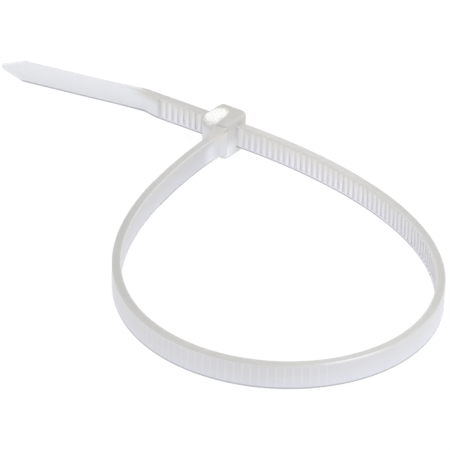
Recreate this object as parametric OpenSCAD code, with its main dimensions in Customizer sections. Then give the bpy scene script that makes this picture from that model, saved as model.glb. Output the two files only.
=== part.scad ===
// Nylon cable tie, closed into a loop and standing on its edge.
// The strap leaves the neck of the head, runs round the loop with its teeth on the inside,
// passes through the slot of the head, where the pawl holds it, and ends in a smooth tail.
// Millimetres. Z is up, the loop lies towards -Y and the head's underside is centred on the origin.

/* [Strap] */
// Width of the strap, which is its height while the loop stands on edge
strap_w = 4.8; // [4:0.1:6.4]
// Thickness of the strap over its side rails
strap_t = 1.55; // [1.3:0.05:1.8]
// Width of each of the two side rails
rail_w = 0.55; // [0.4:0.05:0.8]
// How far the rails stand above the tips of the teeth
rail_proud = 0.1; // [0.05:0.05:0.2]

/* [Teeth] */
// Distance from one tooth to the next along the strap
tooth_pitch = 1.51; // [1.3:0.01:1.8]
// Height of a tooth from its root to its tip
tooth_h = 0.55; // [0.4:0.05:0.65]
// Flat on the tip of a tooth
tooth_tip = 0.18; // [0.1:0.02:0.3]
// Smooth length of strap between the head's neck and the first tooth
plain_length = 77; // [40:1:90]
// Length of toothed strap that has come out of the slot
toothed_tail = 13.1; // [8:0.1:24]

/* [Loop] */
// Length of the bent strap from the neck to the slot
loop_length = 228; // [190:1:290]
// Angle by which the neck leans away from square to the slot
neck_lean = 2.4; // [0:0.1:6]
// Extra bend at the far end and near the head, as a share of the mean bend
nose_share = 0.046; // [0:0.001:0.08]
// Sideways swing of the bend, as a share of the mean bend
sway_share = 0.038; // [0:0.001:0.06]

/* [Tail] */
// Distance from the head to the kink in the tail
kink_distance = 16.9; // [14:0.1:26]
// Angle of the kink in the tail
kink_angle = 11; // [0:0.1:20]
// Length of the tail from the kink to its tip
tail_length = 33.2; // [20:0.1:50]
// Width of the smooth tail
tail_w = 4.5; // [3.8:0.1:6]
// Thickness of the smooth tail
tail_t = 0.8; // [0.6:0.05:1.1]
// Length of the taper at the tip
tip_length = 5.4; // [3:0.1:8]
// Width left at the rounded end of the tip
tip_w = 1; // [0.8:0.1:2]

/* [Head] */
// Length of the head along the slot
head_l = 6.7; // [6:0.1:8]
// Depth of the head along the neck
head_d = 7.5; // [7:0.1:10]
// Width of the head, which is its height while the loop stands on edge
head_w = 8.8; // [8:0.1:10]
// Rounding of the head's corners
head_r = 1.2; // [0.4:0.05:1.3]
// Distance from the head's middle back to the middle of the strap in the slot
slot_back = 0.65; // [0.5:0.05:1]
// Distance from the head's middle to the middle of the neck, towards the loop
neck_in = 2.2; // [1:0.05:2.25]
// Thickness of the neck where it joins the head
neck_t = 2; // [1.8:0.05:2.2]
// Length over which the neck thins to the strap
neck_l = 5; // [3:0.1:8]

/* [Pawl] */
// Gap between the strap and the walls of the slot
slot_gap = 0.2; // [0.1:0.05:0.3]
// Gap between the teeth of the pawl and the teeth of the strap
mesh_gap = 0.06; // [0.04:0.01:0.1]
// Number of teeth on the pawl
pawl_teeth = 3; // [2:1:3]
// Thickness of the pawl's tongue behind its teeth
pawl_t = 0.8; // [0.6:0.05:1]
// Room behind the pawl for it to bend into
pawl_room = 1.1; // [0.8:0.05:1.3]
// Gap at each side of the pawl
pawl_side_gap = 0.25; // [0.15:0.05:0.35]
// Distance from the slot's mouth to the hinge of the pawl
pawl_hinge = 1.5; // [1.2:0.05:1.8]
// Chamfer round the mouth of the slot
mouth_chamfer = 0.3; // [0.2:0.05:0.5]

/* [Hidden] */
nylon = [0.93, 0.93, 0.92];

// A cut runs this far past the face that it opens
past = 1;
// Straight strap between the neck's face and the bend, and between the bend and the slot
neck_run = 3.1;
slot_run = 1.7;
// Lengths over which the tail kinks, steps down to its thickness and narrows to its width
kink_run = 1.6;
step_run = 1.2;
narrowing = 6;
// Flat strap between the last tooth and the step down
land = 0.4;

// The whole bend turns the strap from the neck round to the slot
turn = 270 - neck_lean;
slot_heading = turn / 2;
strap_low = (head_w - strap_w) / 2;
slot_y = -slot_back;
crest_y = strap_t / 2 - rail_proud;
root_y = crest_y - tooth_h;
band_w = strap_w - 2 * rail_w;

// A place in the head's own frame, whose X runs along the slot, and its place in the part
function turned(p, a) = [p[0] * cos(a) - p[1] * sin(a), p[0] * sin(a) + p[1] * cos(a)];
function total(v) = [for (p = v) 1] * v;
bend_start = turned([-neck_in, head_d / 2], slot_heading)
    + neck_run * turned([1, 0], -turn / 2);
bend_end = turned([-head_l / 2 - slot_run, slot_y], slot_heading);

// The strap bends least near the head and most at the far end of the loop, as a springy strip does.
// heading() gives its direction at the share u of the bend. k holds the two shares that close the
// loop: how much the bend gathers at the far end, and how much more of it lies on one side.
rad = 180 / PI;
function heading(u, k) = turn * (u - 0.5)
    - turn / 360 * rad * (k[0] * sin(360 * u) - k[1] * (1 - cos(360 * u)))
    + turn / 720 * rad * (nose_share * sin(720 * u) - sway_share * (1 - cos(720 * u)));
bend_steps = 240;
bend_step = loop_length / bend_steps;
function step_dir(i, k) = turned([bend_step, 0], heading((i + 0.5) / bend_steps, k));
function miss(k) = total([for (i = [0:bend_steps - 1]) step_dir(i, k)]) - (bend_end - bend_start);
function improved(k) = let (
        d = 0.0001,
        m = miss(k),
        a = (miss(k + [d, 0]) - m) / d,
        b = (miss(k + [0, d]) - m) / d,
        det = a[0] * b[1] - a[1] * b[0]
    ) k - [m[0] * b[1] - m[1] * b[0], a[0] * m[1] - a[1] * m[0]] / det;
function closed(k, rounds) = rounds == 0 ? k : closed(improved(k), rounds - 1);
shares = closed([0.7, 0], 8);

bend_points = [
    for (i = 0, p = bend_start; i <= bend_steps; p = p + step_dir(i, shares), i = i + 1) p
];

// Lengths along the strap, counted from the start of the bend
slot_mouth = loop_length + slot_run;
slot_exit = slot_mouth + head_l;
kink_at = slot_exit + kink_distance;
kink_end = kink_at + kink_run;
strap_end = kink_end + tail_length;
teeth_end = slot_exit + toothed_tail;
step_at = teeth_end + land;
tooth_count = floor((teeth_end - plain_length + neck_run) / tooth_pitch);
teeth_start = teeth_end - tooth_count * tooth_pitch;
kink_steps = 4;
neck_steps = 6;

function strap_heading(s) =
    s <= 0 ? -turn / 2
    : s < loop_length ? heading(s / loop_length, shares)
    : slot_heading + kink_angle * min(max((s - kink_at) / kink_run, 0), 1);
function bend_place(s) = let (i = floor(s / bend_step), rest = s - i * bend_step)
    bend_points[i] + turned([rest, 0], heading((i + rest / bend_step / 2) / bend_steps, shares));
function kink_place(s) = let (n = kink_steps, d = (s - kink_at) / n)
    bend_end + turned([kink_at - loop_length, 0], slot_heading)
    + total([for (i = [0:n - 1]) turned([d, 0], strap_heading(kink_at + (i + 0.5) * d))]);
// The place of the strap's middle line at the length s
function middle(s) =
    s < 0 ? bend_start + turned([s, 0], -turn / 2)
    : s < loop_length ? bend_place(s)
    : s < kink_at ? bend_end + turned([s - loop_length, 0], slot_heading)
    : s < kink_end ? kink_place(s)
    : kink_place(kink_end) + turned([s - kink_end, 0], slot_heading + kink_angle);
// A point beside the middle line, d towards the inside of the loop
function beside(s, d) = middle(s) + turned([0, d], strap_heading(s));

// Stations along the strap: one for each tooth, and closer ones at the neck and at the tail's kink
stations = concat(
    [-neck_run - head_r],
    [for (i = [0:neck_steps]) neck_l * i / neck_steps - neck_run],
    [for (s = neck_l - neck_run + tooth_pitch; s < loop_length - tooth_pitch / 2; s = s + tooth_pitch) s],
    [loop_length, step_at, step_at + step_run],
    [for (i = [0:kink_steps]) kink_at + kink_run * i / kink_steps],
    [strap_end]
);
// The neck thins from the head to the strap on both faces, and the tail steps down on its inner face
function share(v) = min(max(v, 0), 1);
function neck_flare(s) = (neck_t - strap_t) / 2 * pow(share(1 - (s + neck_run) / neck_l), 2);
function outer_y(s) = -strap_t / 2 - neck_flare(s);
function inner_y(s) = strap_t / 2 + neck_flare(s)
    - (strap_t - tail_t) * share((s - step_at) / step_run);

module strap_outline() {
    polygon(concat(
        [for (s = stations) beside(s, outer_y(s))],
        [for (i = [len(stations) - 1:-1:0]) beside(stations[i], inner_y(stations[i]))]
    ));
}

// The gaps between the teeth: each tooth is steep towards the head's neck and slopes towards the tip
module tooth_gaps() {
    polygon(concat(
        [for (i = [0:tooth_count - 1]) let (s = teeth_start + i * tooth_pitch) each [
            beside(s, crest_y),
            beside(s + tooth_tip, crest_y),
            beside(s + tooth_pitch, root_y)
        ]],
        [for (i = [tooth_count:-1:0]) beside(teeth_start + i * tooth_pitch, strap_t / 2 + past)]
    ));
}

// The cuts that narrow the tail and leave its pointed tip
module tail_cuts() {
    end_place = middle(strap_end);
    translate([end_place[0], end_place[1], strap_w / 2])
        rotate(slot_heading + kink_angle)
            rotate([90, 0, 0])
                for (side = [0, 1])
                    mirror([0, side, 0])
                        linear_extrude(2 * strap_t, center = true)
                            polygon([
                                [-tail_length, strap_w / 2],
                                [narrowing - tail_length, tail_w / 2],
                                [-tip_length, tail_w / 2],
                                [-tip_w / 3, tip_w / 2],
                                [0, tip_w / 6],
                                [past, tip_w / 6],
                                [past, strap_w / 2 + past],
                                [-tail_length, strap_w / 2 + past]
                            ]);
}

module strap() {
    translate([0, 0, strap_low])
        difference() {
            linear_extrude(strap_w) strap_outline();
            translate([0, 0, rail_w]) linear_extrude(band_w) tooth_gaps();
            tail_cuts();
        }
}

module rounded_box(x, y, r) {
    square([x, y - 2 * r], center = true);
    square([x - 2 * r, y], center = true);
    for (i = [-1, 1], j = [-1, 1])
        translate([i * (x / 2 - r), j * (y / 2 - r)]) circle(r, $fn = 32);
}

// The head's block, rounded on all its edges by the three ways of looking at it
module head_block() {
    intersection() {
        linear_extrude(head_w) rounded_box(head_l, head_d, head_r);
        translate([0, 0, head_w / 2])
            rotate([90, 0, 0])
                linear_extrude(head_d, center = true) rounded_box(head_l, head_w, head_r);
        translate([0, 0, head_w / 2])
            rotate([90, 0, 90])
                linear_extrude(head_l, center = true) rounded_box(head_d, head_w, head_r);
    }
}

// The passage for the strap, widened at the mouth that the tip goes into
module slot() {
    w = strap_w + 2 * slot_gap;
    t = strap_t + 2 * slot_gap;
    mouth = -head_l / 2;
    translate([0, slot_y, head_w / 2]) {
        cube([head_l + 2 * past, t, w], center = true);
        linear_extrude(w, center = true)
            polygon([
                [mouth - past, -t / 2 - mouth_chamfer - past],
                [mouth - past, t / 2 + mouth_chamfer + past],
                [mouth + mouth_chamfer, t / 2],
                [mouth + mouth_chamfer, -t / 2]
            ]);
        rotate([90, 0, 0])
            linear_extrude(t, center = true)
                polygon([
                    [mouth - past, -w / 2 - mouth_chamfer - past],
                    [mouth - past, w / 2 + mouth_chamfer + past],
                    [mouth + mouth_chamfer, w / 2],
                    [mouth + mouth_chamfer, -w / 2]
                ]);
    }
}

// The pawl, a tongue that hangs from the slot's mouth side with its free end towards the exit
hinge_x = -head_l / 2 + pawl_hinge;
tongue_low = slot_y + strap_t / 2 + slot_gap;
notches_past_hinge = floor((teeth_end - slot_mouth - pawl_hinge) / tooth_pitch);
first_mesh = teeth_end - notches_past_hinge * tooth_pitch;
function slot_x(s) = s - slot_mouth - head_l / 2;
pawl_w = band_w - 2 * pawl_side_gap;
pawl_end = slot_x(first_mesh + (pawl_teeth - 1) * tooth_pitch) + tooth_pitch - mesh_gap;

module pawl() {
    translate([0, 0, (head_w - pawl_w) / 2])
        linear_extrude(pawl_w)
            polygon(concat(
                [[hinge_x - past / 2, tongue_low + pawl_t], [hinge_x - past / 2, tongue_low]],
                [for (i = [0:pawl_teeth - 1])
                    let (x = slot_x(first_mesh + i * tooth_pitch)) each [
                        [x + tooth_tip + mesh_gap, slot_y + crest_y + mesh_gap],
                        [x + tooth_pitch - mesh_gap, slot_y + root_y + mesh_gap * 2],
                        if (i < pawl_teeth - 1)
                            [x + tooth_pitch - mesh_gap, slot_y + crest_y + mesh_gap]
                    ]
                ],
                [[pawl_end, tongue_low + pawl_t * 0.75]]
            ));
}

module pawl_space() {
    w = pawl_w + 2 * pawl_side_gap;
    translate([0, 0, (head_w - w) / 2])
        linear_extrude(w)
            polygon([
                [hinge_x, slot_y],
                [hinge_x, tongue_low + pawl_t / 2],
                [hinge_x + pawl_room / 2, tongue_low + pawl_t + pawl_room],
                [head_l / 2 + past, tongue_low + pawl_t + pawl_room],
                [head_l / 2 + past, slot_y]
            ]);
}

module head() {
    rotate(slot_heading) {
        difference() {
            head_block();
            slot();
            pawl_space();
        }
        pawl();
    }
}

module cable_tie() {
    color(nylon) {
        strap();
        head();
    }
}

cable_tie();
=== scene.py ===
"""A nylon cable tie, closed into a loop and standing on its edge: its looks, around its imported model.

The classes hold their sizes in millimetres, and a finished piece is brought to metres. The strap is
modelled straight, from one tooth of it that an array repeats, and is then bent along its route.
"""

from __future__ import annotations

import cmath
import logging
import math
from collections.abc import Callable, Iterator
from contextlib import contextmanager
from dataclasses import dataclass, field
from enum import Enum

import bmesh
import bpy
from bpy.types import Material, NodeSocket, Object, World
from mathutils import Matrix, Vector

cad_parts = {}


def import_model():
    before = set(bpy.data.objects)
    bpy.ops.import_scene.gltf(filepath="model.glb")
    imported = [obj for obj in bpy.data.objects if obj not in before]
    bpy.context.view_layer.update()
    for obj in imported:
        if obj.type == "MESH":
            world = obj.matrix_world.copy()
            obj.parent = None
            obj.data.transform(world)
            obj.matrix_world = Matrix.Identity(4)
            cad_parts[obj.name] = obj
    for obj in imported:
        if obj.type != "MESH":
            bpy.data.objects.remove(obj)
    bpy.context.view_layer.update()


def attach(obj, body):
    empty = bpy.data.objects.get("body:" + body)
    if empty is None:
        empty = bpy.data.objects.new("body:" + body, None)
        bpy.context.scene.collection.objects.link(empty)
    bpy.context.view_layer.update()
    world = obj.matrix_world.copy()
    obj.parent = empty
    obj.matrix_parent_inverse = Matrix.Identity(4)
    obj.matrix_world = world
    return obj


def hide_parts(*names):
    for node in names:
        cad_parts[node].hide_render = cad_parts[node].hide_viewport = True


LOG = logging.getLogger("cable_tie")

MM = 0.001
NEAR = 0.002
NODE = "cable_tie"
BODY = "root"
ROUTE_MAP = "route"

Corner = tuple[float, float, float]
Ramp = tuple[float, float]
Tone = tuple[int, int, int]
Tones = tuple[Tone, Tone]
Sockets = dict[int | str, object]


def near(a: float, b: float) -> bool:
    """Whether two lengths are the same but for rounding."""
    return abs(a - b) < NEAR


def spread(start: float, end: float, count: int, gather: float = 1.0) -> list[float]:
    """Places from after the start up to the end, closer together towards the end if gathered."""
    return [end + (start - end) * (1 - i / count) ** gather for i in range(1, count + 1)]


class Join(Enum):
    """What is done to a shape with another one."""

    WELD = "UNION"
    CUT = "DIFFERENCE"


class Kind(Enum):
    """What a selection on a mesh is made of."""

    POINTS = "VERT"
    EDGES = "EDGE"
    FACES = "FACE"


@dataclass(frozen=True)
class HeadSizes:
    """Sizes of the head, in millimetres, in its own frame: X along the slot, Y towards the neck."""

    length: float = 6.7
    depth: float = 7.5
    width: float = 8.8
    edge: float = 1.2
    edge_steps: int = 6
    slot_back: float = 0.65
    slot_gap: float = 0.06
    mouth_wall: float = 0.9
    neck_in: float = 2.2

    @property
    def middle(self) -> float:
        """Height of the middle plane of the head and the strap."""
        return self.width / 2


@dataclass(frozen=True)
class StrapSizes:
    """Sizes of the strap's section and its lengths, in millimetres."""

    width: float = 4.98
    thickness: float = 1.72
    rail: float = 0.55
    rail_proud: float = 0.06
    pitch: float = 1.51
    tooth: float = 0.24
    tip_flat: float = 0.18
    draft: float = 0.1
    outer_round: float = 0.14
    inner_round: float = 0.18
    rail_round: float = 0.04
    neck_run: float = 3.1
    neck_root: float = 0.9
    neck_thickness: float = 2.0
    neck_length: float = 9.0
    neck_lean: float = 0.45
    fillet: float = 1.1
    fillet_rise: float = 0.75
    fillet_reach: float = 3.0
    plain_length: float = 77.0
    loop: float = 228.0
    slot_run: float = 1.7
    toothed_tail: float = 13.1
    land: float = 0.4
    step: float = 2.9
    thinning: float = 5.0
    kink_distance: float = 16.9
    kink_run: float = 1.6
    kink_angle: float = 11.0
    narrowing: float = 6.0
    tail: float = 33.2
    tail_width: float = 4.65
    tail_thickness: float = 0.95
    droop: float = 0.2
    tip_length: float = 5.4
    tip_width: float = 1.0

    @property
    def band(self) -> float:
        """Width of the band of teeth between the two rails."""
        return self.width - 2 * self.rail

    @property
    def crest(self) -> float:
        """Height of the tooth tips over the strap's middle line."""
        return self.thickness / 2 - self.rail_proud


@dataclass(frozen=True)
class Lengths:
    """Places along the strap, in millimetres from the start of the bend."""

    start: float
    neck_face: float
    teeth_start: float
    teeth_end: float
    bend_end: float
    kink: float
    kink_end: float
    end: float
    teeth: int

    @classmethod
    def of(cls, strap: StrapSizes, head: HeadSizes) -> Lengths:
        """Works the places out from the sizes of the strap and the head."""
        slot_exit = strap.loop + strap.slot_run + head.length
        teeth_end = slot_exit + strap.toothed_tail
        teeth = math.floor((teeth_end - strap.plain_length + strap.neck_run) / strap.pitch)
        kink = slot_exit + strap.kink_distance
        return cls(
            start=-strap.neck_run - strap.neck_root,
            neck_face=-strap.neck_run,
            teeth_start=teeth_end - teeth * strap.pitch,
            teeth_end=teeth_end,
            bend_end=strap.loop,
            kink=kink,
            kink_end=kink + strap.kink_run,
            end=kink + strap.kink_run + strap.tail,
            teeth=teeth,
        )


@dataclass
class Route:
    """The strap's middle line, seen from above, with places as complex numbers in millimetres."""

    strap: StrapSizes
    head: HeadSizes
    lengths: Lengths
    lean: float = 2.4
    nose_share: float = 0.046
    sway_share: float = 0.038
    steps: int = 240
    rounds: int = 8
    exit_steps: int = 30
    kink_steps: int = 6
    tail_steps: int = 24
    points: list[complex] = field(init=False)

    def __post_init__(self) -> None:
        """Solves the two shares that close the loop, and lays the bend out."""
        self.turn = math.radians(270 - self.lean)
        self.slot_heading = self.turn / 2
        slot_turn = cmath.rect(1, self.slot_heading)
        neck = complex(-self.head.neck_in, self.head.depth / 2) * slot_turn
        self.bend_start = neck + cmath.rect(self.strap.neck_run, -self.turn / 2)
        mouth = complex(-self.head.length / 2 - self.strap.slot_run, -self.head.slot_back)
        self.bend_end = mouth * slot_turn
        shares = self._closed((0.7, 0.0))
        self.points = [self.bend_start]
        for i in range(self.steps):
            self.points.append(self.points[-1] + self._step(i, shares))

    def _bend_heading(self, share: float, k: tuple[float, float]) -> float:
        """Direction of the strap at a share of the bend, as a springy strip bends."""
        wave, wave2 = math.tau * share, 2 * math.tau * share
        first = k[0] * math.sin(wave) - k[1] * (1 - math.cos(wave))
        second = self.nose_share * math.sin(wave2) - self.sway_share * (1 - math.cos(wave2))
        return self.turn * (share - 0.5 - first / math.tau + second / (2 * math.tau))

    def _step(self, i: int, k: tuple[float, float]) -> complex:
        """The bend's step number i."""
        heading = self._bend_heading((i + 0.5) / self.steps, k)
        return cmath.rect(self.strap.loop / self.steps, heading)

    def _miss(self, k: tuple[float, float]) -> complex:
        """By how much the bend misses the slot."""
        return sum(self._step(i, k) for i in range(self.steps)) - (self.bend_end - self.bend_start)

    def _closed(self, k: tuple[float, float]) -> tuple[float, float]:
        """Newton's method on the two shares."""
        nudge = 1e-4
        for _ in range(self.rounds):
            miss = self._miss(k)
            a = (self._miss((k[0] + nudge, k[1])) - miss) / nudge
            b = (self._miss((k[0], k[1] + nudge)) - miss) / nudge
            det = (a.conjugate() * b).imag
            k = (k[0] - (miss.conjugate() * b).imag / det, k[1] - (a.conjugate() * miss).imag / det)
        return k

    def middle_line(self) -> list[complex]:
        """Points of the whole middle line, from inside the head to the tip of the tail."""
        places = self.lengths
        root = self.bend_start + cmath.rect(places.start, -self.turn / 2)
        line = [root, (root + self.bend_start) / 2, *self.points]
        heading = self.slot_heading
        for length, count, turn in (
            (places.kink - places.bend_end, self.exit_steps, 0.0),
            (self.strap.kink_run, self.kink_steps, math.radians(self.strap.kink_angle)),
            (self.strap.tail, self.tail_steps, 0.0),
        ):
            for i in range(count):
                direction = heading + turn * (i + 0.5) / count
                line.append(line[-1] + cmath.rect(length / count, direction))
            heading += turn
        return line


class Bench:
    """Modelling operators, and the selections that they act on."""

    @staticmethod
    def clear() -> None:
        """Leaves edit mode and deselects everything."""
        if bpy.context.object and bpy.context.object.mode != "OBJECT":
            bpy.ops.object.mode_set(mode="OBJECT")
        bpy.ops.object.select_all(action="DESELECT")

    @classmethod
    def take(cls, obj: Object) -> None:
        """Makes one object the only selected one, and the active one."""
        cls.clear()
        obj.select_set(True)
        bpy.context.view_layer.objects.active = obj

    @classmethod
    def block(cls, name: str, low: Corner, high: Corner) -> Object:
        """Adds a cube between two corners in millimetres, with its place and size in its mesh."""
        cls.clear()
        centre = [(a + b) / 2 for a, b in zip(low, high)]
        size = [b - a for a, b in zip(low, high)]
        bpy.ops.mesh.primitive_cube_add(size=1, location=centre, scale=size)
        obj = bpy.context.object
        obj.name = obj.data.name = name
        cls.apply_place(obj)
        return obj

    @classmethod
    def apply_place(cls, obj: Object) -> None:
        """Puts the object's place, turn and scale into its mesh."""
        cls.take(obj)
        bpy.ops.object.transform_apply(location=True, rotation=True, scale=True)

    @classmethod
    @contextmanager
    def editing(cls, obj: Object) -> Iterator[None]:
        """Edit mode on one object, with nothing selected at first."""
        cls.take(obj)
        bpy.ops.object.mode_set(mode="EDIT")
        bpy.ops.mesh.select_all(action="DESELECT")
        yield
        bpy.ops.object.mode_set(mode="OBJECT")

    @staticmethod
    def _pick(kind: Kind, test: Callable[[object], bool]) -> None:
        """Selects only the vertices, edges or faces of the edited mesh that pass the test."""
        bpy.ops.mesh.select_mode(type=kind.value)
        bpy.ops.mesh.select_all(action="DESELECT")
        mesh = bpy.context.edit_object.data
        shape = bmesh.from_edit_mesh(mesh)
        items = {Kind.POINTS: shape.verts, Kind.EDGES: shape.edges, Kind.FACES: shape.faces}
        for item in items[kind]:
            if test(item):
                item.select_set(True)
        shape.select_flush_mode()
        bmesh.update_edit_mesh(mesh)

    @classmethod
    def points(cls, test: Callable[[Vector], bool]) -> None:
        """Selects vertices by their place."""
        cls._pick(Kind.POINTS, lambda v: test(v.co))

    @classmethod
    def edges(cls, test: Callable[[Vector, Vector], bool]) -> None:
        """Selects edges by the places of their two ends."""
        cls._pick(Kind.EDGES, lambda e: test(e.verts[0].co, e.verts[1].co))

    @classmethod
    def rim(cls, x: float) -> None:
        """Selects the open edges at a station along X."""
        cls._pick(Kind.EDGES, lambda e: e.is_boundary and all(near(v.co.x, x) for v in e.verts))

    @classmethod
    def faces(cls, test: Callable[[Vector, Vector], bool]) -> None:
        """Selects faces by their middle and normal."""
        cls._pick(Kind.FACES, lambda f: test(f.calc_center_median(), f.normal))

    @staticmethod
    def cut(place: Vector, normal: Vector) -> None:
        """Cuts every face along a plane, and leaves both halves."""
        bpy.ops.mesh.select_all(action="SELECT")
        bpy.ops.mesh.bisect(plane_co=place, plane_no=normal, threshold=NEAR / 10)

    @staticmethod
    def extrude(move: Corner) -> None:
        """Extrudes the selection along a vector."""
        bpy.ops.mesh.extrude_region_move(TRANSFORM_OT_translate={"value": move})

    @staticmethod
    def resize(scale: Corner, centre: Corner) -> None:
        """Scales the selection about a point."""
        bpy.ops.transform.resize(value=scale, center_override=centre)

    @staticmethod
    def move(shift: Corner) -> None:
        """Moves the selection."""
        bpy.ops.transform.translate(value=shift)

    @staticmethod
    def bevel(width: float, steps: int) -> None:
        """Rounds the selected edges."""
        bpy.ops.mesh.bevel(offset=width, segments=steps, affect="EDGES", clamp_overlap=False)

    @staticmethod
    def merge() -> None:
        """Merges the vertices of the edited mesh that lie on each other."""
        bpy.ops.mesh.select_all(action="SELECT")
        bpy.ops.mesh.remove_doubles(threshold=NEAR / 2)

    @classmethod
    def modify(cls, obj: Object, kind: str, **settings: object) -> None:
        """Adds a modifier with its settings and applies it."""
        cls.take(obj)
        modifier = obj.modifiers.new(kind.lower(), kind)
        for key, value in settings.items():
            setattr(modifier, key, value)
        bpy.ops.object.modifier_apply(modifier=modifier.name)

    @classmethod
    def combine(cls, obj: Object, other: Object, join: Join) -> None:
        """Welds another shape to the object or cuts it out, and deletes the other."""
        settings = {"operation": join.value, "solver": "EXACT", "material_mode": "TRANSFER"}
        cls.modify(obj, "BOOLEAN", object=other, **settings)
        bpy.data.objects.remove(other)


@dataclass
class Strap:
    """The strap: neck, smooth stretch, toothed stretch and tail, modelled straight along X."""

    sizes: StrapSizes
    lengths: Lengths
    route: Route
    spacing: float = 1.5
    lean_power: int = 2
    flare_power: int = 3
    fillet_power: float = 2.4
    ease: float = 0.05
    kink_ease: float = 0.4
    tip_thin: float = 0.55
    tip_least: float = 0.2

    def build(self, height: float) -> Object:
        """Models the strap, marks its own coordinates and bends it along its route.

        Args:
            height: Height of the strap's middle plane over the floor, in millimetres.

        Returns:
            The bent strap, closed at both ends, in millimetres.
        """
        strap = self._tooth()
        places = self.lengths
        Bench.modify(
            strap,
            "ARRAY",
            count=places.teeth,
            use_relative_offset=False,
            use_constant_offset=True,
            constant_offset_displace=(self.sizes.pitch, 0, 0),
            use_merge_vertices=True,
            merge_threshold=NEAR,
        )
        strap.location.x = places.teeth_start - places.start
        Bench.apply_place(strap)
        self._lay_start(strap)
        self._lay_tail(strap)
        with Bench.editing(strap):
            Bench.merge()
            bpy.ops.mesh.normals_make_consistent(inside=False)
        self._mark(strap)
        self._bend(strap)
        strap.location.z = height
        Bench.apply_place(strap)
        return strap

    def _tooth(self) -> Object:
        """One pitch of the strap, open at both ends, with one tooth between its rails."""
        s = self.sizes
        half_t, half_w, half_band = s.thickness / 2, s.width / 2, s.band / 2
        wall = s.pitch - s.draft
        slope = (s.tip_flat + wall) / 2
        tooth = Bench.block("strap", (0, -half_t, -half_w), (s.pitch, half_t, half_w))
        with Bench.editing(tooth):
            for side in (-half_band, half_band):
                Bench.cut((0, 0, side), (0, 0, 1))
            Bench.faces(lambda c, n: n.y > 0.9 and abs(c.z) < half_band)
            Bench.extrude((0, -s.rail_proud, 0))
            for x in (s.tip_flat, slope, wall):
                Bench.cut((x, 0, 0), (1, 0, 0))
            Bench.faces(lambda c, n: near(c.x, 0) or near(c.x, s.pitch))
            bpy.ops.mesh.delete(type="FACE")
            for x, depth in ((slope, s.tooth / 2), (wall, s.tooth)):
                Bench.points(
                    lambda p, x=x: near(p.x, x) and near(p.y, s.crest) and abs(p.z) < half_band + NEAR
                )
                Bench.move((0, -depth, 0))
            for y, z, width, steps in (
                (-half_t, half_w, s.outer_round, 3),
                (half_t, half_w, s.inner_round, 3),
                (half_t, half_band, s.rail_round, 2),
            ):
                Bench.edges(
                    lambda a, b, y=y, z=z: all(near(p.y, y) and near(abs(p.z), z) for p in (a, b))
                )
                Bench.bevel(width, steps)
            Bench.merge()
        return tooth

    def _close_band(self, x: float) -> None:
        """Raises the band at one station to the rails' height, where the teeth end."""
        half_t, half_band = self.sizes.thickness / 2, self.sizes.band / 2
        Bench.points(lambda p: near(p.x, x) and p.y > 0 and abs(p.z) < half_band + NEAR)
        Bench.resize((1, 0, 1), (x, half_t, 0))

    def _lay_start(self, strap: Object) -> None:
        """Adds the smooth stretch and the neck, from the first tooth back into the head."""
        s, places = self.sizes, self.lengths
        first = places.teeth_start - places.start
        edge = first - s.rail_proud
        neck_end = s.neck_root + s.neck_length
        with Bench.editing(strap):
            Bench.rim(first)
            Bench.extrude((-s.rail_proud, 0, 0))
            self._close_band(edge)
            Bench.rim(edge)
            Bench.extrude((neck_end - edge, 0, 0))
            Bench.edges(lambda a, b: near(abs(a.x - b.x), edge - neck_end))
            bpy.ops.mesh.subdivide(number_cuts=round((edge - neck_end) / self.spacing))
            stations = [neck_end, *spread(neck_end, 0, count=16, gather=1.6)]
            for here, after in zip(stations, stations[1:]):
                Bench.rim(here)
                Bench.extrude((after - here, 0, 0))
                self._fit_neck(here, after)
            bpy.ops.mesh.edge_face_add()

    def _neck_section(self, x: float) -> tuple[float, float, float]:
        """The neck's outer face, inner face and width at a station."""
        s = self.sizes
        share = min(1.0, max(0.0, 1 - (x - s.neck_root) / s.neck_length))
        flare = (s.neck_thickness - s.thickness) / 2 * share**self.flare_power
        lean = s.neck_lean * share**self.lean_power
        nearness = max(0.0, 1 - max(0.0, x - s.neck_root) / s.fillet_reach)
        fillet = s.fillet * nearness**self.fillet_power
        half = s.thickness / 2 + flare
        return -half - lean - fillet, half, s.width + 2 * fillet * s.fillet_rise / s.fillet

    def _fit_neck(self, before: float, x: float) -> None:
        """Scales the newest station of the neck from the section before it to its own."""
        low, high, width = self._neck_section(before)
        new_low, new_high, new_width = self._neck_section(x)
        grow = (new_high - new_low) / (high - low)
        middle = (low + high) / 2
        Bench.resize((1, grow, new_width / width), (x, middle, 0))
        Bench.move((0, (new_low + new_high) / 2 - middle, 0))

    def _tail_section(self, s: float) -> tuple[float, float]:
        """Thickness and width of the tail at a length along the strap."""
        sizes, places = self.sizes, self.lengths
        step_share = min(1.0, max(0.0, (s - places.teeth_end - sizes.land) / sizes.thinning))
        thin = step_share**2 * (3 - 2 * step_share)
        thickness = sizes.thickness + (sizes.tail_thickness - sizes.thickness) * thin
        narrow = min(1.0, max(0.0, (s - places.kink_end) / sizes.narrowing))
        width = sizes.width + (sizes.tail_width - sizes.width) * narrow
        left = places.end - s
        if left < sizes.tip_length:
            nose = sizes.tip_width / 2
            slope = (sizes.tail_width / 2 - nose) / (sizes.tip_length - nose)
            if left > nose:
                width = 2 * (nose + slope * (left - nose))
            else:
                width = 2 * nose * math.sqrt(max(self.tip_least**2, 1 - (1 - left / nose) ** 2))
            thickness *= self.tip_thin + (1 - self.tip_thin) * min(1.0, left / (2 * nose))
        return thickness, width

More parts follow.
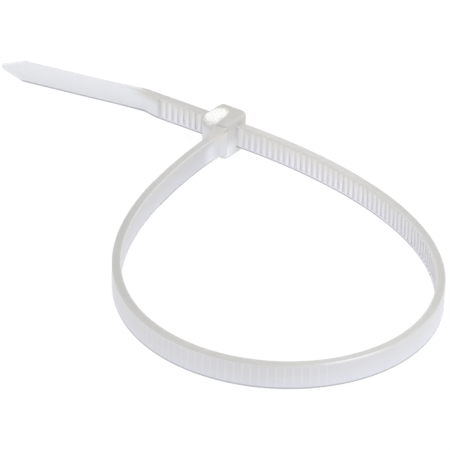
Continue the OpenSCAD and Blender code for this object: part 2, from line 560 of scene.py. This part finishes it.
    def _lay_tail(self, strap: Object) -> None:
        """Adds the tail, from the last tooth to the tip."""
        half_t = self.sizes.thickness / 2
        stations = self._tail_places()
        with Bench.editing(strap):
            for here, after in zip(stations, stations[1:]):
                x, next_x = here - self.lengths.start, after - self.lengths.start
                Bench.rim(x)
                Bench.extrude((next_x - x, 0, 0))
                if after == stations[1]:
                    self._close_band(next_x)
                thickness, width = self._tail_section(here)
                new_thickness, new_width = self._tail_section(after)
                Bench.rim(next_x)
                Bench.resize((1, new_thickness / thickness, new_width / width), (next_x, -half_t, 0))
            bpy.ops.mesh.edge_face_add()

    def _tail_places(self) -> list[float]:
        """The tail's stations along the strap: land, step, kink, straight and tip."""
        s, places = self.sizes, self.lengths
        land = places.teeth_end + s.land
        tip = places.end - s.tip_length
        return [
            places.teeth_end,
            places.teeth_end + self.ease,
            land,
            *spread(land, land + s.step, count=6),
            places.kink - self.kink_ease,
            places.kink,
            *spread(places.kink, places.kink_end, count=5),
            *spread(places.kink_end, tip, count=12),
            *spread(tip, places.end, count=10, gather=1.8),
        ]

    def _mark(self, strap: Object) -> None:
        """Writes each corner's length along the strap and its depth into the route map."""
        layer = strap.data.uv_layers.new(name=ROUTE_MAP)
        vertices = strap.data.vertices
        for loop in strap.data.loops:
            place = vertices[loop.vertex_index].co
            layer.uv[loop.index].vector = (place.x + self.lengths.start, place.y)

    def _droop(self, place: complex) -> float:
        """How far the free tail hangs at one place of the route."""
        way = (place - self.route.bend_end) * cmath.rect(1, -self.route.slot_heading)
        slot = self.lengths.kink - self.lengths.bend_end
        past_slot = way.real > 0 and abs(way.imag) < self.sizes.tail
        share = (abs(way) - slot / 2) / slot if past_slot else 0.0
        return -self.sizes.droop * min(1.0, max(0.0, share))

    def _bend(self, strap: Object) -> None:
        """Bends the straight strap along its route with a curve."""
        curve = bpy.data.curves.new("strap_route", "CURVE")
        curve.dimensions = "3D"
        curve.twist_mode = "Z_UP"
        line = self.route.middle_line()
        spline = curve.splines.new("POLY")
        spline.points.add(len(line) - 1)
        for point, place in zip(spline.points, line):
            point.co = (place.real, place.imag, self._droop(place), 1)
        path = bpy.data.objects.new("strap_route", curve)
        bpy.context.scene.collection.objects.link(path)
        Bench.modify(strap, "CURVE", object=path, deform_axis="POS_X")
        bpy.data.objects.remove(path)


@dataclass
class Head:
    """The head: a rounded block with the slot right through it, and the pawl in the slot."""

    sizes: HeadSizes
    strap: StrapSizes
    lengths: Lengths
    pawl_gap: float = 0.06
    pawl_teeth: int = 3
    pawl_thickness: float = 0.8
    pawl_room: float = 1.1
    pawl_side_gap: float = 0.25
    pawl_hinge: float = 1.5
    pawl_overlap: float = 0.5
    soft_edge: float = 0.07
    past: float = 1.0

    def __post_init__(self) -> None:
        """Places the pawl's hinge along the slot, and the side of the slot that it hangs from."""
        self.hinge = -self.sizes.length / 2 + self.pawl_hinge
        self.tongue_low = -self.sizes.slot_back + self.strap.thickness / 2 + self.sizes.slot_gap

    def build(self, heading: float) -> Object:
        """Models the head, in millimetres, and turns it to the slot's heading in radians."""
        h = self.sizes
        half = (h.length / 2, h.depth / 2)
        head = Bench.block("head", (-half[0], -half[1], 0), (half[0], half[1], h.width))
        with Bench.editing(head):
            bpy.ops.mesh.select_all(action="SELECT")
            Bench.bevel(h.edge, h.edge_steps)
            Bench.merge()
        Bench.combine(head, self._slot(), Join.CUT)
        Bench.combine(head, self._room(), Join.CUT)
        Bench.combine(head, self._pawl(), Join.WELD)
        self._soften(head)
        head.rotation_euler.z = heading
        Bench.apply_place(head)
        return head

    def _soften(self, head: Object) -> None:
        """Rounds the rim of the slot's exit."""
        h = self.sizes
        inner_y, inner_z = h.depth / 2 - h.edge - NEAR, h.width / 2 - h.edge - NEAR

        def on_exit(p: Vector) -> bool:
            """Whether a point lies on the exit's face, inside its rounded edges."""
            return near(p.x, h.length / 2) and abs(p.y) < inner_y and abs(p.z - h.middle) < inner_z

        with Bench.editing(head):
            Bench.edges(lambda a, b: on_exit(a) and on_exit(b))
            Bench.bevel(self.soft_edge, 2)
            Bench.merge()

    def _slot(self) -> Object:
        """The slot past the wall at the mouth, where the strap and the head touch."""
        h, s = self.sizes, self.strap
        half_t, half_w = s.thickness / 2 + h.slot_gap, s.width / 2 + h.slot_gap
        low = (-h.length / 2 + h.mouth_wall, -h.slot_back - half_t, h.middle - half_w)
        high = (h.length / 2 + self.past, -h.slot_back + half_t, h.middle + half_w)
        return Bench.block("slot", low, high)

    def _room(self) -> Object:
        """The room behind the pawl, open at the slot's exit."""
        h = self.sizes
        half_w = self.strap.band / 2
        top = self.tongue_low + self.pawl_thickness + self.pawl_room
        low = (self.hinge, -h.slot_back, h.middle - half_w)
        room = Bench.block("room", low, (h.length / 2 + self.past, top, h.middle + half_w))
        with Bench.editing(room):
            Bench.points(lambda p: p.y > top - NEAR and p.x < self.hinge + NEAR)
            Bench.move((self.pawl_room / 2, 0, 0))
        return room

    def _pawl(self) -> Object:
        """The pawl: a tongue with teeth that sit in the notches of the strap."""
        h, s, places = self.sizes, self.strap, self.lengths
        half_w = s.band / 2 - self.pawl_side_gap
        slot_mouth = s.loop + s.slot_run
        notches = math.floor((places.teeth_end - slot_mouth - self.pawl_hinge) / s.pitch)
        first = places.teeth_end - notches * s.pitch - slot_mouth - h.length / 2
        low, gap = self.tongue_low, self.pawl_gap
        crest = -h.slot_back + s.crest + gap
        root = crest - s.tooth + gap
        back = self.hinge - self.pawl_overlap
        high = (first, low + self.pawl_thickness, h.middle + half_w)
        pawl = Bench.block("pawl", (back, low, h.middle - half_w), high)
        profile = ((s.tip_flat + gap, crest), (s.pitch - 2 * gap, root), (s.pitch - gap, crest))
        corners = [(first + i * s.pitch + x, y) for i in range(self.pawl_teeth) for x, y in profile]
        with Bench.editing(pawl):
            Bench.points(lambda p: p.x < back + NEAR and p.y < low + NEAR)
            Bench.move((0, gap, 0))
            x, bottom = first, low
            for target, y in corners[:-1]:
                Bench.faces(lambda c, n, x=x: n.x > 0.9 and near(c.x, x))
                Bench.extrude((target - x, 0, 0))
                Bench.points(lambda p, x=target, y=bottom: near(p.x, x) and near(p.y, y))
                Bench.move((0, y - bottom, 0))
                x, bottom = target, y
        return pawl


def operator(operation: str, swapped: bool = False) -> Callable[..., Socket]:
    """A method that adds a Math node on a socket and the other values."""

    def method(socket: Socket, *others: object) -> Socket:
        """Adds the node."""
        values = (*others, socket) if swapped else (socket, *others)
        return socket.shader.node("ShaderNodeMath", dict(enumerate(values)), operation=operation)

    return method


@dataclass(eq=False)
class Socket:
    """A node's output, on which Python's operators add Math nodes."""

    shader: Shader
    value: NodeSocket

    __add__ = operator("ADD")
    __sub__ = operator("SUBTRACT")
    __rsub__ = operator("SUBTRACT", swapped=True)
    __mul__ = __rmul__ = operator("MULTIPLY")
    __truediv__ = operator("DIVIDE")
    __abs__ = operator("ABSOLUTE")
    fraction = operator("FRACT")

    def axis(self, name: str) -> Socket:
        """One coordinate of a place."""
        return self.shader.node("ShaderNodeSeparateXYZ", {0: self}, output=name)

    def step(self, start: float, end: float) -> Socket:
        """A smooth step, 0 at the start and 1 at the end, whichever of the two is larger."""
        rising = start < end
        sockets = {
            "Value": self,
            "From Min": min(start, end),
            "From Max": max(start, end),
            "To Min": 0.0 if rising else 1.0,
            "To Max": 1.0 if rising else 0.0,
        }
        return self.shader.node("ShaderNodeMapRange", sockets, interpolation_type="SMOOTHSTEP")


def linear(tone: Tone) -> tuple[float, ...]:
    """A colour as a screen shows it, from 0 to 255, in linear light."""
    shares = [value / 255 for value in tone]
    return (*(c / 12.92 if c <= 0.04045 else ((c + 0.055) / 1.055) ** 2.4 for c in shares), 1.0)


class Shader:
    """The nodes of a material or a world under construction."""

    def __init__(self, owner: Material | World) -> None:
        """Starts with an empty tree."""
        owner.use_nodes = True
        self.owner = owner
        self.tree = owner.node_tree
        self.tree.nodes.clear()

    def node(
        self, kind: str, sockets: Sockets | None = None, output: int | str = 0, **settings: object
    ) -> Socket:
        """Adds a node.

        Args:
            kind: Blender's name of the node's type.
            sockets: Values or links of its inputs, by name or number.
            output: The output that is handed back.
            **settings: The node's own settings, which are set first.

        Returns:
            The chosen output.
        """
        node = self.tree.nodes.new(kind)
        for key, value in settings.items():
            setattr(node, key, value)
        for key, value in (sockets or {}).items():
            value = value.value if isinstance(value, Socket) else value
            if isinstance(value, NodeSocket):
                self.tree.links.new(value, node.inputs[key])
            else:
                node.inputs[key].default_value = value
        return Socket(self, node.outputs[output])

    def mix(self, share: object, first: Socket | Tone, second: Socket | Tone) -> Socket:
        """Mixes two colours, each a socket or a tone."""
        colours = [linear(c) if isinstance(c, tuple) else c for c in (first, second)]
        sockets = {0: share, 6: colours[0], 7: colours[1]}
        return self.node("ShaderNodeMix", sockets, output=2, data_type="RGBA", clamp_factor=True)

    def finish(self, surface: Socket) -> Material | World:
        """Links the surface to the output of the material or the world."""
        world = isinstance(self.owner, World)
        output = self.tree.nodes.new("ShaderNodeOutputWorld" if world else "ShaderNodeOutputMaterial")
        self.tree.links.new(surface.value, output.inputs["Surface"])
        return self.owner


@dataclass
class SurfaceMap:
    """Sockets that tell a material where a point lies, in millimetres."""

    shader: Shader
    height: Socket


@dataclass
class HeadMap(SurfaceMap):
    """A place on the head, in the head's own frame."""

    x: Socket
    y: Socket


@dataclass
class StrapMap(SurfaceMap):
    """A place on the strap, read from its route map, with the masks that several tones share."""

    sizes: StrapSizes
    places: Lengths

    def __post_init__(self) -> None:
        """Makes the sockets."""
        s, places = self.sizes, self.places
        half_w, half_t = s.width / 2, s.thickness / 2
        route = self.shader.node("ShaderNodeUVMap", uv_map=ROUTE_MAP)
        self.along, self.depth = route.axis("X"), route.axis("Y")
        self.from_outer, self.from_inner = self.depth + half_t, half_t - self.depth
        self.from_top, self.from_low = half_w - self.height, self.height + half_w
        self.past_mouth = self.along - places.bend_end
        self.past_exit = self.along - (places.kink - s.kink_distance)
        self.up = self.height.step(-half_w, half_w)
        self.inside = self.depth.step(-0.15, 0.05)
        self.in_band = abs(self.height).step(s.band / 2 + 0.1, s.band / 2 - 0.1)
        self.phase = ((self.along - places.teeth_start) / s.pitch).fraction()
        self.from_slope = abs(self.phase - 0.5)
        first_teeth = self.along.step(places.teeth_start - 1, places.teeth_start + 6)
        self.toothed = first_teeth * self.along.step(places.teeth_end, places.teeth_end - 0.1)
        self.past_head = self.past_mouth.step(4, 6)
        self.near_head = self.along.step(places.neck_face + 6.5, places.neck_face + 2.0)


@dataclass(frozen=True)
class Layer:
    """A tone that is laid over others, in the part of the map that its ramps leave."""

    tone: Tone
    ramps: tuple[tuple[str, float, float], ...]
    share: float = 1.0

    def over(self, base: Socket | Tone, spot: SurfaceMap, mask: object = 1.0) -> Socket:
        """Lays the tone over a base, within a further mask."""
        for name, start, end in self.ramps:
            mask = getattr(spot, name).step(start, end) * mask
        return spot.shader.mix(mask * self.share, base, self.tone)


@dataclass(frozen=True)
class NylonFinish:
    """Natural nylon: milky, with light passing through its thin parts."""

    roughness: float = 0.42
    depth_mm: float = 0.9
    milk: float = 0.6
    index: float = 1.5

    def surface(self, shader: Shader, colour: Socket, roughness: object, normal: Socket | None) -> Socket:
        """The nylon's surface in one colour."""
        sockets: Sockets = {
            "Base Color": colour,
            "Roughness": roughness,
            "IOR": self.index,
            "Subsurface Weight": self.milk,
            "Subsurface Scale": self.depth_mm * MM,
            "Subsurface Radius": (1.0,) * 3,
        }
        if normal is not None:
            sockets["Normal"] = normal
        return shader.node("ShaderNodeBsdfPrincipled", sockets)

    def height(self, shader: Shader, middle: float) -> Socket:
        """Height over the strap's middle plane, in millimetres."""
        place = shader.node("ShaderNodeTexCoord", output="Object")
        return place.axis("Z") / MM - middle


@dataclass(frozen=True)
class StrapFinish(NylonFinish):
    """The strap's nylon, with painted light and shade, in which the teeth show through as painted light
    lines. Pairs of tones run from low to high.
    """

    # Painted light and shade on the outer face: lighter and cooler towards the bottom, lighter further
    # along the strap, and paler on its first stretch.
    outer: Tones = ((219, 220, 227), (209, 208, 206))
    outer_bright: Tones = ((225, 226, 233), (218, 218, 221))
    outer_brightens: Ramp = (80, 124)
    outer_pale: Layer = Layer((229, 229, 234), (("along", 106, 88),), 0.5)
    # Painted light and shade on the inner face, rails and teeth: mostly lighter and cooler towards the
    # bottom, a painted sheen where the loop turns, painted shade in the tooth gaps and painted light on
    # the crests.
    inner: Tones = ((217, 218, 225), (208, 207, 209))
    inner_bright: Layer = Layer((246, 247, 252), (("along", 58, 72), ("along", 104, 90)))
    rail: Tones = ((238, 238, 244), (219, 218, 215))
    tooth_gap: Tones = ((228, 228, 234), (234, 232, 229))
    tooth_crest: Tones = ((247, 247, 253), (234, 233, 231))
    crest: Ramp = (0.66, 0.4)
    tooth_dim: Tone = (221, 221, 226)
    teeth_dim: Ramp = (204, 172)
    dim_share: float = 0.55
    exit_dim_share: float = 0.12
    # Painted light: the teeth show through the outer face as light lines.
    rib: Layer = Layer(
        (232, 232, 234), (("from_slope", 0.36, 0.48), ("from_outer", 0.3, 0.1), ("along", 119, 113)), 0.5
    )
    # Painted light and shade on the tail: lighter towards the bottom, darker at its upper edge, and
    # painted shade over its upper part at the kink.
    tail: Tones = ((232, 233, 237), (222, 222, 226))
    tail_start: Ramp = (0.1, 0.8)
    tail_height: Ramp = (1.9, 2.15)
    kink: Layer = Layer((216, 214, 208), (("height", 0.0, 2.2),))
    # Painted light and shade on the neck: lighter and cooler towards the bottom, with a painted shade and
    # painted light beside the head.
    neck: Tones = ((230, 232, 237), (226, 225, 223))
    neck_height: Ramp = (-1.5, 1.6)
    neck_shade: Layer = Layer(
        (224, 225, 229), (("along", -1.6, -0.7), ("along", 0.6, -0.3), ("height", 2.2, 0.8))
    )
    neck_painted_light: Layer = Layer(
        (234, 235, 240), (("along", -0.4, 1.8), ("along", 5.4, 2.2), ("height", 2.4, 0.0))
    )
    # Painted light: lightens the inner face from just before the slot's mouth to just past its exit.
    corner: Layer = Layer((252, 251, 250), (("past_mouth", -0.6, 1.6), ("past_exit", 3.4, 1.4)), 0.7)
    # Painted shade on the upper edge: darker and warmer than the faces, darker on one stretch of the loop
    # and lighter on two others, with painted highlights along its outer and inner rims.
    top: Tones = ((196, 195, 193), (201, 200, 199))
    top_dark: Layer = Layer((190, 189, 187), (("along", 12, 45), ("along", 95, 60)))
    top_far: Layer = Layer((208, 207, 204), (("along", 176, 205),))
    top_bright: Layer = Layer((205, 205, 204), (("along", 100, 116), ("along", 152, 136)))
    glint: Layer = Layer(
        (226, 226, 227), (("along", 112, 118), ("along", 130, 122), ("from_outer", 0.36, 0.14))
    )
    top_rim: Layer = Layer((209, 208, 207), (("from_inner", 0.32, 0.06), ("along", 192, 176)))
    neck_top: Tone = (206, 204, 201)
    # Painted shade: a dark line along the strap's lower edge.
    low_line: Tone = (184, 184, 189)
    top_edge: Ramp = (0.3, 0.12)
    low_edge: Ramp = (0.5, 0.2)

    def material(self, sizes: StrapSizes, places: Lengths, middle: float) -> Material:
        """Builds the material on the strap's route map.

        Args:
            sizes: Sizes of the strap.
            places: Places along the strap.
            middle: Height of the strap's middle plane, in millimetres.

        Returns:
            The material, with its tones laid over each other from the plain faces to the edges.
        """
        shader = Shader(bpy.data.materials.new("nylon_strap"))
        spot = StrapMap(shader, self.height(shader, middle), sizes, places)
        face = self._inner(spot, self._outer(spot))
        face = self.rib.over(face, spot, spot.toothed * spot.in_band)
        face = self._tail(spot, face)
        face = self._neck(spot, face)
        face = self.corner.over(face, spot, spot.inside)
        colour = self._edges(spot, face)
        return shader.finish(self.surface(shader, colour, self.roughness, None))

    def _outer(self, spot: StrapMap) -> Socket:
        """Tones of the smooth outer face: painted light and painted shade."""
        mix = spot.shader.mix
        plain, bright = mix(spot.up, *self.outer), mix(spot.up, *self.outer_bright)
        return self.outer_pale.over(mix(spot.along.step(*self.outer_brightens), plain, bright), spot)

    def _inner(self, spot: StrapMap, outer: Socket) -> Socket:
        """Adds the inner face, with its rails and teeth, to the outer one: painted shade in the tooth
        gaps, painted light on the crests and a painted sheen at the turn.
        """
        mix = spot.shader.mix
        # The teeth's painted light and shade fade towards one mid tone short of 172 mm along the strap,
        # and a little past the head.
        dim = spot.along.step(*self.teeth_dim) * self.dim_share + spot.past_head * self.exit_dim_share
        rails = mix(dim, mix(spot.up, *self.rail), self.tooth_dim)
        gaps, crests = mix(spot.up, *self.tooth_gap), mix(spot.up, *self.tooth_crest)
        teeth = mix(dim, mix(spot.phase.step(*self.crest), gaps, crests), self.tooth_dim)
        inner = mix(spot.toothed, mix(spot.up, *self.inner), rails)
        face = mix(spot.toothed * spot.in_band * spot.inside, mix(spot.inside, outer, inner), teeth)
        return self.inner_bright.over(face, spot, spot.inside)

    def _tail(self, spot: StrapMap, face: Socket) -> Socket:
        """Adds the smooth tail, with painted shade, darker and warmer, on its upper part at the kink."""
        mix, places = spot.shader.mix, spot.places
        tail = spot.along.step(*(places.teeth_end + end for end in self.tail_start))
        free = mix(spot.height.step(*self.tail_height), *self.tail)
        kink = spot.along.step(places.kink_end + 3.0, places.kink)
        return mix(tail, face, self.kink.over(free, spot, kink))

    def _neck(self, spot: StrapMap, face: Socket) -> Socket:
        """Adds the neck, with painted light and painted shade beside the head."""
        mix = spot.shader.mix
        neck = self.neck_shade.over(mix(spot.height.step(*self.neck_height), *self.neck), spot)
        return self.neck_painted_light.over(mix(spot.near_head, face, neck), spot)

    def _edges(self, spot: StrapMap, face: Socket) -> Socket:
        """Adds the strap's upper edge and a painted dark line of shade along its lower one."""
        edges = spot.shader.mix(spot.height.step(0, 1), self.low_line, self._top(spot))
        low_rim = spot.from_low.step(*self.low_edge) * (1 - spot.near_head)
        return spot.shader.mix(spot.from_top.step(*self.top_edge) + low_rim, face, edges)

    def _top(self, spot: StrapMap) -> Socket:
        """Tones of the upper edge: painted shade, with painted highlights."""
        mix, places, half_t = spot.shader.mix, spot.places, spot.sizes.thickness / 2
        edge = self.top_dark.over(mix(spot.depth.step(-half_t, half_t), *self.top), spot)
        edge = self.top_far.over(edge, spot, 1 - spot.past_head)
        for layer in (self.top_bright, self.glint, self.top_rim):
            edge = layer.over(edge, spot)
        edge = mix(spot.near_head, edge, self.neck_top)
        return mix(spot.along.step(places.kink, places.kink_end + 1.5), edge, self.tail[1])


@dataclass(frozen=True)
class HeadFinish(NylonFinish):
    """The head's nylon, with painted light and shade, and a frosted patch on each flat side whose white
    is a painted highlight.
    """

    # Painted light and shade on the head: light and cool low down and on the underside, darker and warmer
    # towards the top.
    low: Tone = (250, 253, 255)
    middle: Layer = Layer((218, 217, 218), (("height", -3.2, 1.2),))
    high: Layer = Layer((208, 206, 203), (("height", 1.0, 3.2),))
    top: Layer = Layer((197, 195, 192), (("height", 3.7, 4.3),))
    # Painted light low on the neck-side face, towards the exit.
    flank: Layer = Layer((232, 232, 234), (("x", -0.4, 0.8), ("y", 2.4, 3.4), ("height", 2.8, 0.8)))
    underside: Layer = Layer((252, 254, 255), (("height", -2.4, -3.6),))
    # Painted shade along the head's top edges, at the exit side and the back.
    brink: Layer = Layer((180, 177, 171), (("height", 3.2, 4.0),), 0.9)
    brink_along: Ramp = (2.4, 3.1)
    brink_out: Ramp = (-2.9, -3.7)
    # The patch is frosted, with a rougher, bumpy surface, and its white is a painted highlight.
    frost_highlight: Tone = (255, 255, 252)
    pit: Tone = (230, 228, 221)
    patch_place: tuple[float, float] = (0.75, 2.2)
    patch_reach: tuple[float, float] = (1.9, 3.35)
    patch_edge: Ramp = (1.5, 0.6)
    patch_fray: float = 2.4
    patch_end: Ramp = (2.95, 2.45)
    speckle_scale: float = 3.4
    speckle_ramp: Ramp = (0.34, 0.54)
    grain_scale: float = 5.0
    grain_height: float = 0.1
    patch_roughness: float = 0.35

    def material(self, sizes: HeadSizes, heading: float) -> Material:
        """Builds the material on the head's own coordinates.

        Args:
            sizes: Sizes of the head.
            heading: Direction of the slot, in radians.

        Returns:
            The material.
        """
        shader = Shader(bpy.data.materials.new("nylon_head"))
        place = shader.node("ShaderNodeTexCoord", output="Object")
        turned = {"Vector": place, "Rotation": (0, 0, -heading), "Scale": (1 / MM,) * 3}
        own = shader.node("ShaderNodeMapping", turned)
        spot = HeadMap(shader, self.height(shader, sizes.middle), own.axis("X"), own.axis("Y"))
        rough = {"Vector": own, "Scale": self.speckle_scale, "Detail": 3.0, "Roughness": 0.7}
        speckle = shader.node("ShaderNodeTexNoise", rough)
        patch = self._patch(spot.x, spot.y + sizes.middle - abs(spot.height), speckle)
        # Painted highlight on the frosted patch, with darker speckles.
        frost_highlight = shader.mix(speckle.step(*self.speckle_ramp), self.pit, self.frost_highlight)
        colour = shader.mix(patch, self._face(spot), frost_highlight)
        fine = {"Vector": own, "Scale": self.grain_scale, "Detail": 2.0}
        grains = shader.node("ShaderNodeTexNoise", fine)
        relief = {"Height": grains * patch, "Strength": 0.5, "Distance": self.grain_height * MM}
        bump = shader.node("ShaderNodeBump", relief)
        roughness = patch * self.patch_roughness + self.roughness
        return shader.finish(self.surface(shader, colour, roughness, bump))

    def _face(self, spot: HeadMap) -> Socket:
        """Tones of the plain nylon, from the underside to the top: painted light low down, painted shade
        towards the top.
        """
        face: Socket | Tone = self.low
        for layer in (self.middle, self.high, self.top, self.flank, self.underside):
            face = layer.over(face, spot)
        # Painted shade along the top edges at the exit side and the back.
        brink = spot.x.step(*self.brink_along) + spot.y.step(*self.brink_out)
        return self.brink.over(face, spot, brink)

    def _patch(self, x: Socket, outward: Socket, speckle: Socket) -> Socket:
        """The frosted oval, frayed by the speckle, which runs down over the rounded edge: where the
        frosting and its painted highlight lie.
        """
        across = (x - self.patch_place[0]) / self.patch_reach[0]
        lengthwise = (outward - self.patch_place[1]) / self.patch_reach[1]
        oval = across * across + lengthwise * lengthwise + (0.5 - speckle) * self.patch_fray
        return oval.step(*self.patch_edge) * x.step(*self.patch_end)


@dataclass
class Studio:
    """The floor, the soft light and the camera, with lengths in millimetres and angles in degrees."""

    target: Corner = (-5.6, -34.26, 2.0)
    azimuth: float = -10.47
    elevation: float = 29.5
    distance: float = 650.0
    roll: float = 1.48
    lens: float = 265.6
    sensor: float = 36.0
    clip_start: float = 10.0
    clip_end: float = 20000.0
    floor_size: float = 3000.0
    floor_colour: float = 0.9
    floor_white: float = 1.05
    floor_shade: float = 0.15
    world_light: float = 0.95
    lamp_place: Corner = (600.0, -600.0, 800.0)
    lamp_size: float = 800.0
    lamp_power: float = 2.0

    def build(self) -> None:
        """Sets the whole studio up."""
        self._camera()
        self._floor()
        self._world()
        self._lamp()
        bpy.context.scene.view_settings.view_transform = "Standard"

    def _camera(self) -> None:
        """Places the camera at the photo's angle."""
        data = bpy.data.cameras.new("camera")
        data.lens, data.sensor_width = self.lens, self.sensor
        data.clip_start, data.clip_end = self.clip_start * MM, self.clip_end * MM
        camera = bpy.data.objects.new("camera", data)
        bpy.context.scene.collection.objects.link(camera)
        turn, rise = math.radians(self.azimuth), math.radians(self.elevation)
        back = Vector((math.sin(turn) * math.cos(rise), -math.cos(turn) * math.cos(rise), math.sin(rise)))
        place = Matrix.Translation((Vector(self.target) + back * self.distance) * MM)
        look = back.to_track_quat("Z", "Y").to_matrix().to_4x4()
        camera.matrix_world = place @ look @ Matrix.Rotation(math.radians(self.roll), 4, "Z")
        bpy.context.scene.camera = camera

    def _floor(self) -> None:
        """Lays a pale floor that the camera sees as white, with the object's shadow."""
        Bench.clear()
        bpy.ops.mesh.primitive_plane_add(size=self.floor_size * MM, location=(0, 0, 0))
        floor = bpy.context.object
        floor.name = "floor"
        shader = Shader(bpy.data.materials.new("floor"))
        pale = shader.node("ShaderNodeBsdfDiffuse", {"Color": (*(self.floor_colour,) * 3, 1)})
        white = shader.node("ShaderNodeEmission", {"Color": (1,) * 4, "Strength": self.floor_white})
        shown = self._seen(shader) * (1 - self.floor_shade)
        mixed = shader.node("ShaderNodeMixShader", {0: shown, 1: pale, 2: white})
        floor.data.materials.append(shader.finish(mixed))

    @staticmethod
    def _seen(shader: Shader) -> Socket:
        """1 for what the camera sees, directly, reflected or through the object."""
        rays = ("Is Camera Ray", "Is Glossy Ray", "Is Transmission Ray")
        return 1 - math.prod(1 - shader.node("ShaderNodeLightPath", output=ray) for ray in rays)

    def _world(self) -> None:
        """Lights the object evenly, and shows white behind it."""
        world = bpy.data.worlds.new("studio")
        bpy.context.scene.world = world
        shader = Shader(world)
        strength = self._seen(shader) * (1 - self.world_light) + self.world_light
        shader.finish(shader.node("ShaderNodeBackground", {"Color": (1,) * 4, "Strength": strength}))

    def _lamp(self) -> None:
        """Adds one large soft lamp over the object."""
        data = bpy.data.lights.new("key", "AREA")
        data.shape = "DISK"
        data.size = self.lamp_size * MM
        data.energy = self.lamp_power
        lamp = bpy.data.objects.new("key", data)
        lamp.location = Vector(self.lamp_place) * MM
        lamp.rotation_euler = (-Vector(lamp.location)).to_track_quat("-Z", "Y").to_euler()
        bpy.context.scene.collection.objects.link(lamp)


@dataclass
class CableTie:
    """The whole tie: the strap and the head, dressed and made one moulding."""

    head: HeadSizes = field(default_factory=HeadSizes)
    strap: StrapSizes = field(default_factory=StrapSizes)
    smooth_below: float = 34.0

    def build(self) -> Object:
        """Models the tie.

        Returns:
            The moulding, in metres, with the strap's material and the head's.
        """
        places = Lengths.of(self.strap, self.head)
        route = Route(self.strap, self.head, places)
        strap = Strap(self.strap, places, route).build(self.head.middle)
        head = Head(self.head, self.strap, places).build(route.slot_heading)
        strap_nylon = StrapFinish().material(self.strap, places, self.head.middle)
        head_nylon = HeadFinish().material(self.head, route.slot_heading)
        for obj, material in ((strap, strap_nylon), (head, head_nylon)):
            obj.data.materials.clear()
            obj.data.materials.append(material)
        Bench.combine(strap, head, Join.WELD)
        strap.name = strap.data.name = "moulding"
        strap.scale = (MM,) * 3
        Bench.apply_place(strap)
        bpy.ops.object.shade_smooth_by_angle(angle=math.radians(self.smooth_below))
        return strap


def main() -> None:
    """Builds the tie, its studio and its camera."""
    logging.basicConfig(level=logging.INFO, format="%(name)s: %(message)s")
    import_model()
    Studio().build()
    moulding = CableTie().build()
    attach(moulding, BODY)
    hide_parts(NODE)
    LOG.info("%s: %d faces", moulding.name, len(moulding.data.polygons))


if __name__ == "__main__":
    main()
